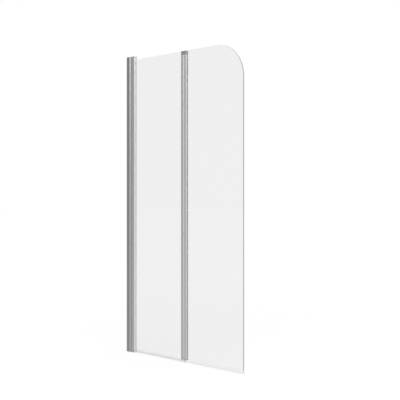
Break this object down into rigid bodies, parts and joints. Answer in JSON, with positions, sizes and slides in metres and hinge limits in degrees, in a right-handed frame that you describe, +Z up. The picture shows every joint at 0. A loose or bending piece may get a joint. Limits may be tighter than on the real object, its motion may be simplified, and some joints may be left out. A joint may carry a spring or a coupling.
{
  "type": "folding bath screen",
  "caption": "Folding glass bath screen: two panes on a pivoting aluminium wall profile, joined by a full-height fold hinge, outer pane with a rounded top corner.",
  "frame": {"origin": "on the wall's face, in the panes' middle plane, at the level of the bath's rim, which is the foot of the wall profile", "axes": "+X out from the wall along the closed screen, +Z up, +Y across the screen towards the side that the fold hinge's tube is on and the outer leaf folds to"},
  "size_m": [0.75, 0.027, 1.4],
  "materials": {
    "aluminium": "bright anodised silver, drawn lengthways",
    "end_plate": "satin grey die casting",
    "end_block": "satin dark grey die casting",
    "foot_block": "satin grey die casting",
    "clear_glass": "clear toughened glass with polished edges",
    "clear_seal": "translucent soft plastic",
    "gasket": "pale grey translucent rubber",
    "steel": "stainless, turned",
    "bush_plastic": "white low-friction plastic",
    "cover_plastic": "silver-grey moulded plastic"
  },
  "bodies": {
    "wall_profile": {"wall_channel": "aluminium", "pivot_post": "aluminium", "pivot_seal": "gasket", "top_pivot_plate": "end_plate", "bottom_pivot_plate": "end_plate", "plate_screws": "steel", "adjusting_screws": "steel", "screw_covers": "cover_plastic", "pivot_pins": "steel"},
    "inner_leaf": {"pivot_profile": "aluminium", "pivot_bushes": "bush_plastic", "pivot_top_cover": "end_plate", "pivot_bottom_cover": "end_plate", "pivot_gasket": "gasket", "inner_pane": "clear_glass", "inner_fold_profile": "aluminium", "inner_fold_gasket": "gasket", "fold_bushes": "bush_plastic", "fold_seal": "clear_seal", "inner_top_block": "end_block", "inner_bottom_block": "foot_block", "inner_block_screws": "steel", "inner_bottom_seal": "clear_seal"},
    "outer_leaf": {"outer_fold_profile": "aluminium", "outer_fold_gasket": "gasket", "outer_pane": "clear_glass", "outer_top_block": "end_block", "outer_bottom_block": "foot_block", "outer_block_screws": "steel", "fold_pins": "steel", "outer_bottom_seal": "clear_seal"}
  },
  "joints": [
    {"name": "wall_pivot", "type": "hinge", "parent": "wall_profile", "child": "inner_leaf", "pos_m": [0.0343, 0, 0.7], "axis": [0, 0, 1], "range_deg": [-90, 90]},
    {"name": "fold_hinge", "type": "hinge", "parent": "inner_leaf", "child": "outer_leaf", "pos_m": [0.3999, 0.01, 0.7], "axis": [0, 0, 1], "range_deg": [0, 180]}
  ]
}
